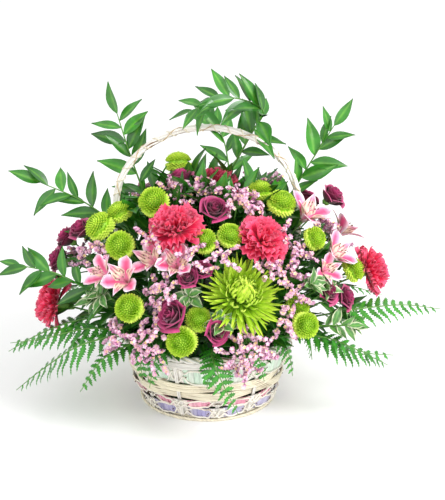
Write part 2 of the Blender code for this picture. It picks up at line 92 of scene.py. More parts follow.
ALSTROEMERIAS = {
    "alstroemeria_left": [(-96, -108, 196, 19), (-122, -90, 195, 18)],
    "alstroemeria_centre": [(-64, -98, 216, 19), (-34, -112, 216, 18)],
    "alstroemeria_top_right": [(120, -38, 252, 22)],
    "alstroemeria_right": [(153, -46, 204, 21), (164, -8, 221, 19), (140, -76, 193, 15)],
    "alstroemeria_back": [(-20, 118, 238, 20), (8, 138, 215, 19)],
}
STATICES = {
    "statice_lower_left": [
        (-104, -118, 127, 11), (-78, -130, 129, 12), (-62, -138, 117, 12), (-57, -134, 142, 10)
    ],
    "statice_front_left": [(-44, -126, 189, 10), (-60, -118, 180, 10)],
    "statice_front": [
        (48, -138, 132, 11), (33, -146, 121, 11), (44, -142, 103, 11), (62, -138, 117, 12)
    ],
    "statice_right": [(99, -112, 176, 11), (94, -100, 200, 11), (90, -126, 148, 10)],
    "statice_top": [(34, -40, 268, 11), (14, -30, 272, 10), (-12, -30, 274, 11), (54, -46, 262, 9)],
    "statice_back": [(150, 60, 186, 12), (136, 80, 174, 12), (160, 42, 172, 11)],
}
RUSCUS = {
    "ruscus_tall_left": ([(-72, 22, 240), (-92, 25, 300), (-106, 25, 350)], 11),
    "ruscus_left": ([(-100, 20, 205), (-150, 28, 240), (-200, 28, 264)], 11),
    "ruscus_over_handle": (
        [(18, 24, 262), (52, 12, 330), (64, -12, 366), (24, -18, 382), (-16, -14, 366)], 28
    ),
    "ruscus_tall_right": ([(86, 34, 220), (122, 34, 285), (150, 30, 334)], 12),
    "ruscus_low_left": ([(-130, -52, 152), (-175, -48, 176), (-220, -40, 184)], 10),
    "ruscus_back": ([(30, 80, 230), (20, 110, 290), (0, 118, 320)], 11),
}
PITTOSPORUM = {
    "pittosporum_right": ([(134, -84, 126), (164, -98, 132)], 7),
    "pittosporum_back": ([(-30, 105, 130), (-50, 150, 135)], 7),
}
FERNS = {
    "fern_left_long": (
        [(-100, -98, 122), (-150, -104, 108), (-196, -78, 66), (-229, -62, 32)], 36, 13
    ),
    "fern_left_short": (
        [(-125, -46, 122), (-168, -46, 112), (-208, -40, 92), (-240, -34, 70)], 30, 12
    ),
    "fern_front": ([(6, -122, 106), (10, -152, 104), (22, -158, 78), (36, -150, 44)], 24, 9),
    "fern_right_long": (
        [(130, -60, 128), (180, -62, 138), (232, -46, 136), (279, -30, 124)], 34, 13
    ),
    "fern_right_low": ([(118, -80, 112), (152, -90, 101), (188, -80, 86), (214, -68, 68)], 28, 11),
    "fern_back": ([(30, 124, 110), (50, 160, 112), (66, 190, 84), (72, 204, 48)], 32, 11),
}
SIDE_FRONDS = [  # these have no CAD node: they fill the sides and the back
    ([(-92, -66, 112), (-142, -80, 120), (-192, -72, 104), (-234, -58, 92)], 30, 13),
    ([(-82, -92, 110), (-120, -118, 98), (-146, -128, 62)], 24, 9),
    ([(92, -72, 112), (142, -94, 114), (184, -98, 98), (218, -88, 90)], 26, 11),
    ([(100, 22, 112), (160, 40, 126), (216, 44, 112)], 28, 11),
    ([(-94, 40, 112), (-150, 70, 118), (-196, 84, 92)], 28, 11),
    ([(-40, 100, 112), (-80, 134, 108), (-104, 150, 72)], 24, 9),
]
LOOSE_PITTOSPORUM = [
    (137, -90, 177), (120, -104, 186), (171, -70, 122), (-123, -95, 170), (-134, -84, 158),
    (17, -138, 152), (-20, -118, 178), (-120, 60, 170), (60, 130, 196), (-10, 120, 170),
]
LOOSE_STATICE = [
    (-20, -112, 224), (70, -108, 206), (18, -112, 222), (86, -74, 236), (-60, -92, 240), (106, -76, 214),
    (-118, -68, 214), (-144, -48, 200), (134, -26, 232), (36, -60, 272), (-40, -30, 278), (-6, 40, 268),
    (60, 60, 250), (-80, 60, 236), (100, 90, 212), (-110, 70, 200), (20, 120, 200), (-60, 124, 180),
    (150, 20, 200), (-160, 10, 180), (80, 30, 262),
]
# The wall of the basket is a line of (height, radius), in millimetres.
WALL_LINE = [(0, 77.0), (31, 88.6), (41, 91.6), (54, 94.6), (76, 100.6), (88, 106.0)]
STAKES = 12
FIRST_STAKE_ANGLE = math.radians(-82)
WEAVE = 2.6 * MM
# One leg of the handle is a line of (distance from the middle, height), in millimetres.
HANDLE_LEG = [(79.8, 30), (92.0, 76), (98.4, 91.5), (103.0, 130), (106.5, 180), (108, 245)]
ARCH_HEIGHT = 96 * MM


# ---------------------------------------------------------------- colours and materials
def rgb(code):
    """An sRGB hex colour as linear light."""
    shares = [int(code[i:i + 2], 16) / 255 for i in (0, 2, 4)]
    return np.array([s / 12.92 if s <= 0.04045 else ((s + 0.055) / 1.055) ** 2.4 for s in shares])


def mixed(a, b, share):
    """Colour a, changed into colour b by a share or an array of shares."""
    share = np.asarray(share, float)[..., None]
    return a * (1 - share) + b * share


def noise_node(nodes, scale, detail):
    noise = nodes.new("ShaderNodeTexNoise")
    noise.inputs["Scale"].default_value = scale
    noise.inputs["Detail"].default_value = detail
    return noise


def range_node(nodes, low, high, to_low=0.0, to_high=1.0):
    """Stretches the values from low to high over another range."""
    made = nodes.new("ShaderNodeMapRange")
    for name, value in (("From Min", low), ("From Max", high), ("To Min", to_low), ("To Max", to_high)):
        made.inputs[name].default_value = value
    return made


def material(name, roughness, noise_scale, variation, bump=0.2, sheen=0.0, coat=0.0, soft=0.0,
             speck=None, speck_scale=400.0, streak=None):
    """The mesh's tint, made lighter and darker by a noise that also drives a fine bump.

    A speck colour adds small marks. A streak stretches the noise along the grain of the strand or chip.
    """
    made = bpy.data.materials.new(name)
    made.use_nodes = True
    nodes, links = made.node_tree.nodes, made.node_tree.links
    shader = nodes["Principled BSDF"]
    shader.inputs["Roughness"].default_value = roughness
    shader.inputs["Sheen Weight"].default_value = sheen
    shader.inputs["Coat Weight"].default_value = coat
    shader.inputs["Coat Roughness"].default_value = 0.3
    shader.inputs["Subsurface Weight"].default_value = soft
    shader.inputs["Subsurface Radius"].default_value = (0.004, 0.003, 0.002)
    tint = nodes.new("ShaderNodeAttribute")
    tint.attribute_name = "Tint"
    grain = nodes.new("ShaderNodeAttribute")
    grain.attribute_name = "Grain"
    where = nodes.new("ShaderNodeTexCoord")
    stretch = nodes.new("ShaderNodeMapping")
    source = grain.outputs["Vector"] if streak else where.outputs["Object"]
    links.new(source, stretch.inputs["Vector"])
    stretch.inputs["Scale"].default_value = streak or (1, 1, 1)
    noise = noise_node(nodes, noise_scale, 4)
    links.new(stretch.outputs["Vector"], noise.inputs["Vector"])
    shade = range_node(nodes, 0.3, 0.7, 1 - variation, 1 + variation)
    links.new(noise.outputs["Fac"], shade.inputs["Value"])
    tinted = nodes.new("ShaderNodeVectorMath")
    tinted.operation = "SCALE"
    links.new(tint.outputs["Color"], tinted.inputs[0])
    links.new(shade.outputs["Result"], tinted.inputs["Scale"])
    colour = tinted.outputs["Vector"]
    if speck is not None:
        spots = noise_node(nodes, speck_scale, 2)
        links.new(stretch.outputs["Vector"], spots.inputs["Vector"])
        edge = range_node(nodes, 0.62, 0.72)
        links.new(spots.outputs["Fac"], edge.inputs["Value"])
        blend = nodes.new("ShaderNodeMix")
        blend.data_type = "RGBA"
        links.new(edge.outputs["Result"], blend.inputs["Factor"])
        links.new(colour, blend.inputs["A"])
        blend.inputs["B"].default_value = (*speck, 1)
        colour = blend.outputs["Result"]
    links.new(colour, shader.inputs["Base Color"])
    fine = nodes.new("ShaderNodeBump")
    fine.inputs["Strength"].default_value = bump
    fine.inputs["Distance"].default_value = 0.4 * MM
    links.new(noise.outputs["Fac"], fine.inputs["Height"])
    links.new(fine.outputs["Normal"], shader.inputs["Normal"])
    return made


WOOD_SPECK, WHITE_SPECK = tuple(rgb("7A5A3C")), tuple(rgb("F4F0EA"))
MATERIALS = {
    "carnation": material("carnation_petal", 0.6, 260, 0.14, sheen=0.15, soft=0.12),
    "spider_mum": material("spider_petal", 0.5, 220, 0.1, sheen=0.1, soft=0.12),
    "pompon": material("pompon_petal", 0.55, 320, 0.12, soft=0.12),
    "rose": material("rose_petal", 0.5, 200, 0.2, sheen=0.25, soft=0.05),
    "alstroemeria": material("alstroemeria_petal", 0.42, 240, 0.08, coat=0.1, soft=0.12),
    "statice": material("statice_petal", 0.7, 500, 0.14, soft=0.1),
    "ruscus": material("ruscus_leaf", 0.33, 90, 0.22, coat=0.25, soft=0.03),
    "pittosporum": material("pittosporum_leaf", 0.4, 160, 0.14, coat=0.15, soft=0.03),
    "fern": material("fern_leaf", 0.45, 150, 0.24, bump=0.35, coat=0.1, soft=0.03),
    "stem": material("cut_stem", 0.5, 140, 0.2),
    "willow": material("whitewashed_willow", 0.75, 1.0, 0.1, bump=0.6, speck=WOOD_SPECK,
                       speck_scale=0.6, streak=(60, 500, 500)),
    "chip": material("painted_chip", 0.7, 1.0, 0.2, bump=0.6, speck=WHITE_SPECK,
                     speck_scale=1.6, streak=(70, 900, 900)),
}


# ---------------------------------------------------------------- mesh building
def grid(rows, cols):
    """Shares along (0 to 1) and across (-1 to 1) of a patch, and its quads."""
    u, v = np.meshgrid(np.linspace(0, 1, rows), np.linspace(-1, 1, cols), indexing="ij")
    i, j = np.meshgrid(np.arange(rows - 1), np.arange(cols - 1), indexing="ij")
    a = (i * cols + j).ravel()
    return u.ravel(), v.ravel(), np.stack([a, a + 1, a + cols + 1, a + cols], axis=1)


class Piece:
    """Patches and rods gathered into one mesh, with a tint and a grain for each vertex."""

    def __init__(self):
        self.points, self.faces, self.tints, self.grains, self.kinds = [], [], [], [], []
        self.count = 0

    def add(self, points, faces, tint, kind, grain=None):
        """Adds faces of one material; the grain is where the material's streaks run along X."""
        points = np.asarray(points, float)
        self.points.append(points)
        self.faces += [[int(i) + self.count for i in face] for face in faces]
        self.tints.append(np.broadcast_to(tint, points.shape))
        self.grains.append(points if grain is None else grain)
        self.kinds += [kind] * len(faces)
        self.count += len(points)

    def make(self, name, nodes=(), slot=None):
        """The finished object, on the body, in place of the CAD nodes that it stands for."""
        mesh = bpy.data.meshes.new(name)
        mesh.from_pydata(np.concatenate(self.points).tolist(), [], self.faces)
        tints = np.hstack([np.concatenate(self.tints), np.ones((self.count, 1))])
        tint = mesh.attributes.new("Tint", "FLOAT_COLOR", "POINT")
        tint.data.foreach_set("color", tints.astype(np.float32).ravel())
        grain = mesh.attributes.new("Grain", "FLOAT_VECTOR", "POINT")
        grain.data.foreach_set("vector", np.concatenate(self.grains).astype(np.float32).ravel())
        kinds = sorted(set(self.kinds))
        for kind in kinds:
            mesh.materials.append(MATERIALS[kind])
        order = {kind: i for i, kind in enumerate(kinds)}
        mesh.polygons.foreach_set("material_index", [order[kind] for kind in self.kinds])
        mesh.shade_smooth()
        obj = bpy.data.objects.new(name, mesh)
        bpy.context.scene.collection.objects.link(obj)
        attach(obj, "root")
        if nodes:
            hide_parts(*nodes)


def unit(vector):
    """The vector at length 1."""
    vector = np.asarray(vector, float)
    return vector / np.linalg.norm(vector)


def axes_for(along, towards):
    """Columns X, Y, Z with Z along and Y as near as it gets to towards."""
    along = unit(along)
    towards = np.asarray(towards, float) - np.dot(towards, along) * along
    if np.linalg.norm(towards) < 1e-6:
        towards = np.cross(along, (0.31, 0.72, 0.61))
    towards = unit(towards)
    return np.stack([np.cross(towards, along), towards, along], axis=1)


def scatter(reach):
    """A random vector, no further than reach along each axis."""
    return np.array([rng.uniform(-reach, reach) for _ in range(3)])


def around(axis, turn, lean):
    """The direction that leans away from an axis, turned about it, and the way straight outward."""
    x, y, z = axes_for(axis, (0.13, 0.2, 1) if abs(axis[2]) < 0.9 else (0, 1, 0)).T
    outward = math.cos(turn) * x + math.sin(turn) * y
    return math.cos(lean) * z + math.sin(lean) * outward, outward


def frames_along(line, first):
    """Two directions square to the line at each of its points, with as little twist as possible."""
    tangents = np.gradient(line, axis=0)
    tangents /= np.linalg.norm(tangents, axis=1)[:, None]
    side = axes_for(tangents[0], first)[:, 0]
    frames = []
    for along in tangents:
        side = unit(side - np.dot(side, along) * along)
        frames.append((side, np.cross(along, side)))
    return frames


def run_along(line):
    """How far along the line each of its points is."""
    return np.concatenate([[0], np.cumsum(np.linalg.norm(np.diff(line, axis=0), axis=1))])


def rod(piece, line, radii, tint, kind, sides=6):
    """A round rod along a line of points, with closed ends."""
    line = np.asarray(line, float)
    radii = np.broadcast_to(radii, len(line))
    turns = TURN * np.arange(sides) / sides
    cos, sin = np.cos(turns), np.sin(turns)
    rings, grains = [], []
    for place, radius, run, (a, b) in zip(line, radii, run_along(line), frames_along(line, (0.2, 0.5, 0.8))):
        rings.append(place + radius * (cos[:, None] * a + sin[:, None] * b))
        grains.append(np.stack([np.full(sides, run), cos * radius, sin * radius], 1))
    rings += [line[:1], line[-1:]]
    grains += [np.zeros((1, 3)), np.zeros((1, 3))]
    faces = []
    for k in range(len(line) - 1):
        for i in range(sides):
            a, b = k * sides + i, k * sides + (i + 1) % sides
            faces.append([a, b, b + sides, a + sides])
    first, last = len(line) * sides, (len(line) - 1) * sides
    for i in range(sides):
        j = (i + 1) % sides
        faces.append([first, j, i])
        faces.append([first + 1, last + i, last + j])
    piece.add(np.concatenate(rings), faces, tint, kind, np.concatenate(grains))


def smooth_line(points, steps):
    """A Catmull-Rom curve through the points."""
    points = [np.asarray(p, float) for p in points]
    ends = [2 * points[0] - points[1], *points, 2 * points[-1] - points[-2]]
    line = []
    for a, b, c, d in zip(ends, ends[1:], ends[2:], ends[3:]):
        for t in np.arange(steps) / steps:
            line.append(0.5 * (2 * b + (c - a) * t + (2 * a - 5 * b + 4 * c - d) * t * t
                               + (3 * b - a - 3 * c + d) * t ** 3))
    return np.array([*line, points[-1]])


def oval(u):
    """Half the width of a rounded petal at each share of its length. The four below are the like."""
    return np.sin(np.pi * np.clip(u, 0, 1) ** 0.75) ** 0.8 * 0.97 + 0.06 * (1 - u)


def fan(u):
    return 0.16 + 0.9 * u ** 0.9 - 0.12 * u ** 6


def strap(u):
    return (0.6 + 0.4 * np.sin(np.pi * u)) * (1 - 0.75 * u ** 10)


def spoon(u):
    return (0.2 + 0.85 * u ** 1.1) * np.sqrt(np.clip(1 - u ** 5, 0, 1)) + 0.02


def lance(u):
    return np.sin(np.pi * u ** 0.8) ** 1.1 + 0.03


def petal(rows, cols, length, width, shape, curl=0.0, cup=0.0, ruffle=0.0, waves=3, phase=0.0,
          fringe=0.0):
    """A petal that grows along +Z, whose face looks to +Y; curl bends its tip towards +Y.

    Cup lifts its sides, ruffle waves its outer part and fringe notches its tip.
    """
    u, v, quads = grid(rows, cols)
    half = shape(u) * width / 2
    bend = curl * u
    bent, divisor = np.abs(bend) > 1e-6, np.where(bend == 0, 1, bend)
    z = length * u * np.where(bent, np.sin(bend) / divisor, 1)
    y = length * u * np.where(bent, (1 - np.cos(bend)) / divisor, 0)
    y = y + cup * half * v * v + ruffle * length * u ** 1.6 * np.sin(waves * np.pi * v + phase)
    z = z + fringe * length * u ** 8 * np.sin(9 * np.pi * v + phase)
    return np.stack([v * half, y, z], 1), quads, u, v


def put(shape, matrix, place):
    """The points turned by the matrix and moved to the place."""
    return shape @ matrix.T + place


# ---------------------------------------------------------------- blooms
LIME_EDGE, LIME, LIME_DEEP = rgb("E2F862"), rgb("B6E22C"), rgb("6CAA1C")
SPIDER_TIP, SPIDER, SPIDER_DEEP = rgb("DDF25C"), rgb("B6DE26"), rgb("74B012")
# The darkest pink is painted shade, laid on the foot of each carnation petal where the whorls overlap.
PINK_EDGE, PINK, PINK_PAINTED_SHADE = rgb("FF86A6"), rgb("FA2E68"), rgb("C00C48")
# The darkest rose colour is painted shade, laid on the foot of each petal deep in the cup.
ROSE_EDGE, ROSE, ROSE_PAINTED_SHADE = rgb("CC4683"), rgb("981C56"), rgb("44081F")
TEPAL_EDGE, TEPAL, TEPAL_DEEP = rgb("FFEFF5"), rgb("F58FBC"), rgb("E0346F")
TEPAL_THROAT, TEPAL_STREAK = rgb("FCEFCC"), rgb("8E1446")
STAMEN, ANTHER = rgb("E58BB0"), rgb("6B5A3A")
LILAC_EDGE, LILAC, LILAC_DEEP, LILAC_EYE = rgb("F9DCEC"), rgb("E592C2"), rgb("B4609A"), rgb("FFE98A")
# LEAF_LIGHT is the green at the foot of the alstroemeria tepals, and the paler midrib of the leaves, which
# is partly a painted highlight.
LEAF_LIGHT, LEAF, LEAF_DEEP = rgb("7CBC42"), rgb("3A8A22"), rgb("164E16")
FERN_LIGHT, FERN, FERN_DEEP = rgb("4CA02A"), rgb("207A1C"), rgb("114814")
STEM_GREEN, SEPAL_GREEN = rgb("5B8F3A"), rgb("6FA145")
CREAM_EDGE, GREY_GREEN = rgb("F0F2CC"), rgb("4C8440")
TOP_CARNATION_SHADE = (0.72, 0.6, 0.6)

POMPON_PETALS = 250
SPIDER_PETALS = 270
ROSE_PETALS = 24
TEPALS = 6
SEPALS = 5
STATICE_BRANCHES = 8
FLORETS = 11
FLORET_POINTS = 10
# A carnation's whorls, from the outermost: the number of petals, their lean and their relative length.
CARNATION_WHORLS = [
    (5, 1.5, 1.0), (8, 1.28, 1.0), (8, 1.02, 0.98), (7, 0.76, 0.95), (7, 0.5, 0.9), (5, 0.22, 0.85)
]


def make_pompon(piece, place, axis, radius):
    """A button chrysanthemum: short petals in a tight spiral that stand out from a flattened globe."""
    heart = place - axis * radius * 0.12
    add_globe(piece, heart, axis, radius * 0.74, 0.86, mixed(LIME_DEEP, LIME, 0.55), "pompon")
    for k in range(POMPON_PETALS):
        share = (k + 0.5) / POMPON_PETALS
        lean = math.acos(1 - 1.5 * share)
        way, outward = around(axis, k * GOLDEN_ANGLE, lean)
        base = heart + (way - axis * 0.14 * way.dot(axis)) * radius * 0.66
        grow, _ = around(axis, k * GOLDEN_ANGLE, lean + 0.12)
        length = radius * (0.3 + 0.1 * share) * rng.uniform(0.9, 1.1)
        width = radius * (0.13 + 0.13 * min(1, share * 2.5))
        shape, quads, u, _ = petal(4, 3, length * 1.12, width, oval, 0.9 - 0.5 * share, 1.1)
        heart_green = max(0, 1 - share * 9) * 0.7
        tint = mixed(LIME_DEEP, LIME, np.clip(u * 3 - 0.3, 0, 1) * (1 - heart_green))
        tint = mixed(tint, LIME_EDGE, np.clip(u * 2 - 0.7, 0, 1) * (1 - heart_green))
        piece.add(put(shape, axes_for(grow, -outward), base), quads, tint, "pompon")
    make_cup(piece, place - axis * radius * 0.55, axis, radius * 0.5, radius * 0.3, SEPAL_GREEN)


def add_globe(piece, place, axis, radius, flat, tint, kind):
    """A squashed globe, the body that small petals stand on."""
    u, v, quads = grid(9, 15)
    lean, turn = np.pi * (1 - u), np.pi * v
    level = np.sin(lean)
    local = np.stack([level * np.cos(turn), level * np.sin(turn), flat * np.cos(lean)], 1)
    piece.add(put(local * radius, axes_for(axis, (0.2, 0.3, 1)), place), quads, tint, kind)


def make_cup(piece, place, axis, radius, depth, tint, lobes=9):
    """The small green leaves under a bloom."""
    for k in range(lobes):
        grow, _ = around(axis, TURN * k / lobes, 1.0)
        shape, quads, u, _ = petal(4, 3, radius * 1.25, radius * 0.7, oval, 0.9, 0.3)
        base = place - axis * depth * 0.6
        piece.add(put(shape, axes_for(grow, axis), base), quads, mixed(LEAF, tint, u), "stem")


def make_carnation(piece, place, axis, radius):
    """A carnation: whorls of ruffled, fringed petals over a long green calyx."""
    base = place - axis * radius * 0.42
    for level, (count, lean, size) in enumerate(CARNATION_WHORLS):
        for k in range(count):
            turn = TURN * (k + 0.5 * (level % 2)) / count + rng.uniform(-0.2, 0.2)
            grow, _ = around(axis, turn, lean + rng.uniform(-0.12, 0.12))
            length = radius * size * rng.uniform(1.0, 1.14)
            shape, quads, u, _ = petal(
                8, 15, length, length * rng.uniform(0.86, 1.1), fan, rng.uniform(-0.5, 0.35), 0.1,
                rng.uniform(0.07, 0.12), rng.choice([3, 4, 5]), rng.uniform(0, TURN), 0.035,
            )
            # Painted shade at the foot of the petal, fading into the pink further out.
            tint = mixed(PINK_PAINTED_SHADE, PINK, np.clip(u * 1.7 - 0.25, 0, 1))
            tint = mixed(tint, PINK_EDGE, np.clip(u * 3 - 2.2, 0, 1) * 0.75)
            tint = tint * rng.uniform(0.92, 1.06)
            piece.add(put(shape, axes_for(grow, axis), base), quads, tint, "carnation")
    top = place - axis * radius * 0.34
    line = [top - axis * radius * 0.85, top - axis * radius * 0.6, top - axis * radius * 0.2, top]
    rod(piece, line, np.array([0.09, 0.17, 0.2, 0.24]) * radius, SEPAL_GREEN, "stem", 10)
    for k in range(SEPALS):
        grow, outward = around(axis, TURN * k / SEPALS, 0.5)
        shape, quads, _, _ = petal(3, 3, radius * 0.3, radius * 0.26, lance, -0.4, 0.2)
        spot = top + outward * radius * 0.2
        piece.add(put(shape, axes_for(grow, -outward), spot), quads, SEPAL_GREEN, "stem")


def make_rose(piece, place, axis, radius):
    """A spray rose: petals wrapped in a spiral cup, each with a rolled lip, over green sepals."""
    base = place - axis * radius * 0.85
    for k in range(ROSE_PETALS):
        share = k / (ROSE_PETALS - 1)
        turn = k * GOLDEN_ANGLE
        reach = radius * (0.08 + 0.82 * share ** 0.85)
        height = radius * (1.62 - 0.4 * share ** 2) * rng.uniform(0.97, 1.04)
        wrap = 1.35 - 0.65 * share
        u, v, quads = grid(9, 11)
        angle = turn + v * wrap * (0.55 + 0.45 * np.sin(np.pi * np.clip(u, 0.02, 1) * 0.62))
        swell = reach * (0.22 + 0.88 * np.sin(np.pi * 0.5 * np.clip(u * 1.25, 0, 1))
                         - 0.2 * u * (1 - share))
        lip = reach * 0.45 * share * np.clip(u * 3.4 - 2.4, 0, 1) ** 1.5
        swell = swell + lip + 0.03 * radius * np.sin(3 * v + k)
        swell = swell + 0.05 * radius * np.abs(v) ** 3 * u
        tall = height * u - 0.75 * lip - 0.2 * height * v * v * u
        local = np.stack([swell * np.cos(angle), swell * np.sin(angle), tall], 1)
        # Painted shade darkens the foot of the petal inside the cup, fading into the rose colour further up.
        tint = mixed(ROSE_PAINTED_SHADE, ROSE, np.clip(u * 1.5 - 0.45, 0, 1))
        tint = mixed(tint, ROSE_EDGE, np.clip(u * 6 - 4.9, 0, 1) * 0.8) * rng.uniform(0.85, 1.15)
        piece.add(put(local, axes_for(axis, (0, 0, 1)), base), quads, tint, "rose")
    rod(piece, [base - axis * radius * 0.32, base - axis * 0.1 * radius, base + axis * radius * 0.16],
        np.array([0.12, 0.34, 0.36]) * radius, SEPAL_GREEN, "stem", 8)
    for k in range(SEPALS):
        grow, _ = around(axis, TURN * k / SEPALS, 0.75)
        curl = -0.8 if k % 2 else 0.5
        shape, quads, u, _ = petal(6, 3, radius * 1.15, radius * 0.42, lance, curl, 0.3)
        piece.add(put(shape, axes_for(grow, axis), base), quads, mixed(SEPAL_GREEN, LEAF, u), "stem")


def make_spider_mum(piece, place, axis, radius):
    """A spider chrysanthemum: a dome of incurved quills, then long quills that arch out and droop."""
    for k in range(SPIDER_PETALS):
        share = (k + 0.5) / SPIDER_PETALS
        lean = 0.08 + 1.85 * share ** 0.8 + rng.uniform(-0.08, 0.08)
        way, outward = around(axis, k * GOLDEN_ANGLE, lean)
        base = place - axis * radius * 0.32 + way * radius * 0.1
        low = max(0, -outward[2])
        length = radius * (0.62 + 0.5 * share ** 0.7 + 0.22 * low * share) * rng.uniform(0.86, 1.12)
        curl = 2.1 - 1.35 * share + rng.uniform(-0.35, 0.35)
        shape, quads, u, _ = petal(10, 5, length, radius * 0.088, strap, curl, 1.4)
        shape[:, 0] += 0.04 * length * np.sin(u * 4 + k) * u
        tint = mixed(SPIDER_DEEP, SPIDER, np.clip(u * 1.8, 0, 1))
        tint = mixed(tint, SPIDER_TIP, np.clip(u * 2 - 0.6, 0, 1) * (0.4 + 0.6 * rng.random()))
        face = axis if share > 0.25 else -outward
        grow = unit(way - UP * 0.25 * low * share)
        piece.add(put(shape, axes_for(grow, face), base), quads, tint, "spider_mum")
    make_cup(piece, place - axis * radius * 0.4, axis, radius * 0.36, radius * 0.2, SEPAL_GREEN, 12)


def make_alstroemeria(piece, place, axis, radius):
    """An alstroemeria: three broad outer tepals, three narrow streaked inner ones, and stamens."""
    base = place - axis * radius * 0.85
    roll = rng.uniform(0, TURN)
    for k in range(TEPALS):
        outer = k % 2 == 0
        grow, outward = around(axis, roll + TURN * k / TEPALS, 0.5 if outer else 0.42)
        width = radius * (1.35 if outer else 0.8)
        bend = rng.uniform(-1.0, -0.5)
        outline = spoon if outer else lance
        shape, quads, u, v = petal(10, 9, radius * 1.8, width, outline, bend, 0.25, 0.03, 2)
        side = np.abs(v)
        edge = np.clip(side * 1.9 - 0.85, 0, 1) + np.clip(u * 4 - 3.2, 0, 1)
        tint = mixed(TEPAL, TEPAL_EDGE, np.clip(edge, 0, 1))
        if outer:
            blush = np.clip(1.25 - side * 2.2, 0, 1) * np.clip(1.7 - np.abs(u - 0.62) * 4.2, 0, 1)
            tint = mixed(tint, TEPAL_DEEP, blush * 0.85)
        else:
            tint = mixed(tint, TEPAL_THROAT, np.clip(1.5 - np.abs(u - 0.5) * 5, 0, 1) * 0.9)
            streaks = (np.sin(u * 46 + side * 9) > 0.25) & (side > 0.12) & (side < 0.8)
            strength = np.clip(1.6 - np.abs(u - 0.55) * 4.5, 0, 1) * 0.85
            tint = mixed(tint, TEPAL_STREAK, streaks * strength)
        tint = mixed(tint, LEAF_LIGHT, np.clip(1 - u * 6, 0, 1) * 0.7)
        piece.add(put(shape, axes_for(grow, -outward), base), quads, tint, "alstroemeria")
    for k in range(TEPALS):
        grow, outward = around(axis, roll + TURN * k / TEPALS + 0.3, 0.2)
        end = base + axis * radius * 1.15 + outward * radius * 0.28
        rod(piece, [base, base + axis * radius * 0.8, end], 0.35 * MM, STAMEN, "alstroemeria", 4)
        rod(piece, [end, end + grow * 1.8 * MM], 0.7 * MM, ANTHER, "stem", 5)
    neck = np.array([0.07, 0.13]) * radius
    rod(piece, [base - axis * radius * 0.3, base], neck, SEPAL_GREEN, "stem", 6)


def make_statice(piece, place, axis, radius):
    """A tuft of statice: curved branchlets set with papery five-lobed cups, each with a pale eye."""
    root = place - axis * radius * 1.1
    for branch in range(STATICE_BRANCHES):
        way, outward = around(axis, branch * GOLDEN_ANGLE, 0.15 + 0.16 * branch)
        bend = unit(scatter(1))
        ends = [root, root + way * radius * 1.1, root + (way * 1.9 + bend * 0.45) * radius]
        tip = ends[-1] + (outward * 0.5 + bend * 0.7) * radius * 0.7
        line = smooth_line([*ends, tip], 5)
        rod(piece, line, np.linspace(0.45, 0.25, len(line)) * MM, STEM_GREEN, "stem", 4)
        for k in range(FLORETS):
            at = line[min(5 + k, len(line) - 1)]
            lift = unit(scatter(1) + axis * 0.9 + outward * 0.4)
            add_floret(piece, at + lift * 1.9 * MM, lift, rng.uniform(2.0, 3.1) * MM, k)


def add_floret(piece, centre, way, size, k):
    """One papery cup: a five-lobed rim, a paler ring inside it and an eye, over a pointed base."""
    n = FLORET_POINTS
    turns = TURN * np.arange(n) / n + rng.uniform(0, TURN)
    reach = size * np.where(np.arange(n) % 2, 0.7, 1.08)
    rim = np.stack([reach * np.cos(turns), reach * np.sin(turns), np.full(n, size * 0.35)], 1)
    inner = rim * (0.34, 0.34, 0.1)
    foot, eye = (0, 0, -size * 1.3), (0, 0, size * 0.05)
    tone = mixed(LILAC_DEEP, LILAC, rng.uniform(0.35, 1))
    tint = np.concatenate([
        np.broadcast_to(mixed(tone, LILAC_EDGE, rng.uniform(0.15, 0.85)), (n, 3)),
        np.broadcast_to(LILAC_EYE if k % 3 == 0 else LILAC_EDGE, (n, 3)), [LILAC_DEEP, LILAC_EYE],
    ])
    points = put(np.concatenate([rim, inner, [foot, eye]]), axes_for(way, UP), centre)
    sides = [(i, (i + 1) % n) for i in range(n)]
    # Each part has points of its own, so that the edges between the parts stay sharp.
    piece.add(points, [[i, j, n + j, n + i] for i, j in sides], tint, "statice")
    piece.add(points, [[2 * n, j, i] for i, j in sides], tint, "statice")
    piece.add(points, [[2 * n + 1, n + i, n + j] for i, j in sides], tint, "statice")


# ---------------------------------------------------------------- leaves
def make_leaf(piece, base, grow, face, length, width, kind="ruscus", edge=None, curl=-0.35):
    """A leaf with a folded midrib and a curved blade, and a pale edge where one is given."""
    shape, quads, u, v = petal(9, 7, length, width, lance, curl * rng.uniform(0.4, 1.5), 0.28,
                               0.02, 2, rng.uniform(0, TURN))
    rib = np.clip(1 - np.abs(v) * 4, 0, 1)
    shape[:, 1] -= rib * width * 0.03
    tone = mixed(LEAF_DEEP, LEAF, rng.uniform(0.25, 1)) if edge is None else GREY_GREEN
    # The midrib is lightened towards LEAF_LIGHT: partly a paler vein, partly a painted highlight along the
    # fold.
    tint = mixed(np.broadcast_to(tone, (len(u), 3)), LEAF_LIGHT, rib * 0.45)
    if edge is not None:
        tint = mixed(tint, edge, np.clip(np.abs(v) * 3.4 - 2.2 + 0.3 * np.sin(u * 19), 0, 1))
    piece.add(put(shape, axes_for(grow, face), base), quads, tint * rng.uniform(0.85, 1.15), kind)


def add_pinna(piece, base, grow, out, length, width):
    """One leaflet of a frond: a tapered blade cut into forward-pointing teeth."""
    teeth = max(4, int(length / (3.4 * MM)))
    u, v, quads = grid(4 * teeth + 1, 5)
    tooth = 1 - (u * teeth) % 1
    half = width / 2 * np.clip(1 - u, 0, 1) ** 0.75 * np.clip(0.5 + 3 * u, 0, 1) * (0.36 + 0.64 * tooth)
    droop = 0.16 * u * u + 0.03 * np.sin(7 * u)
    side = np.abs(v) * half
    local = np.stack([v * half, -droop * length - 0.12 * side, u * length + side * 0.6], 1)
    tint = mixed(FERN, FERN_LIGHT, 0.55 * (1 - np.abs(v)) + 0.25 * u)
    piece.add(put(local, axes_for(grow, out), base), quads, tint * rng.uniform(0.75, 1.15), "fern")


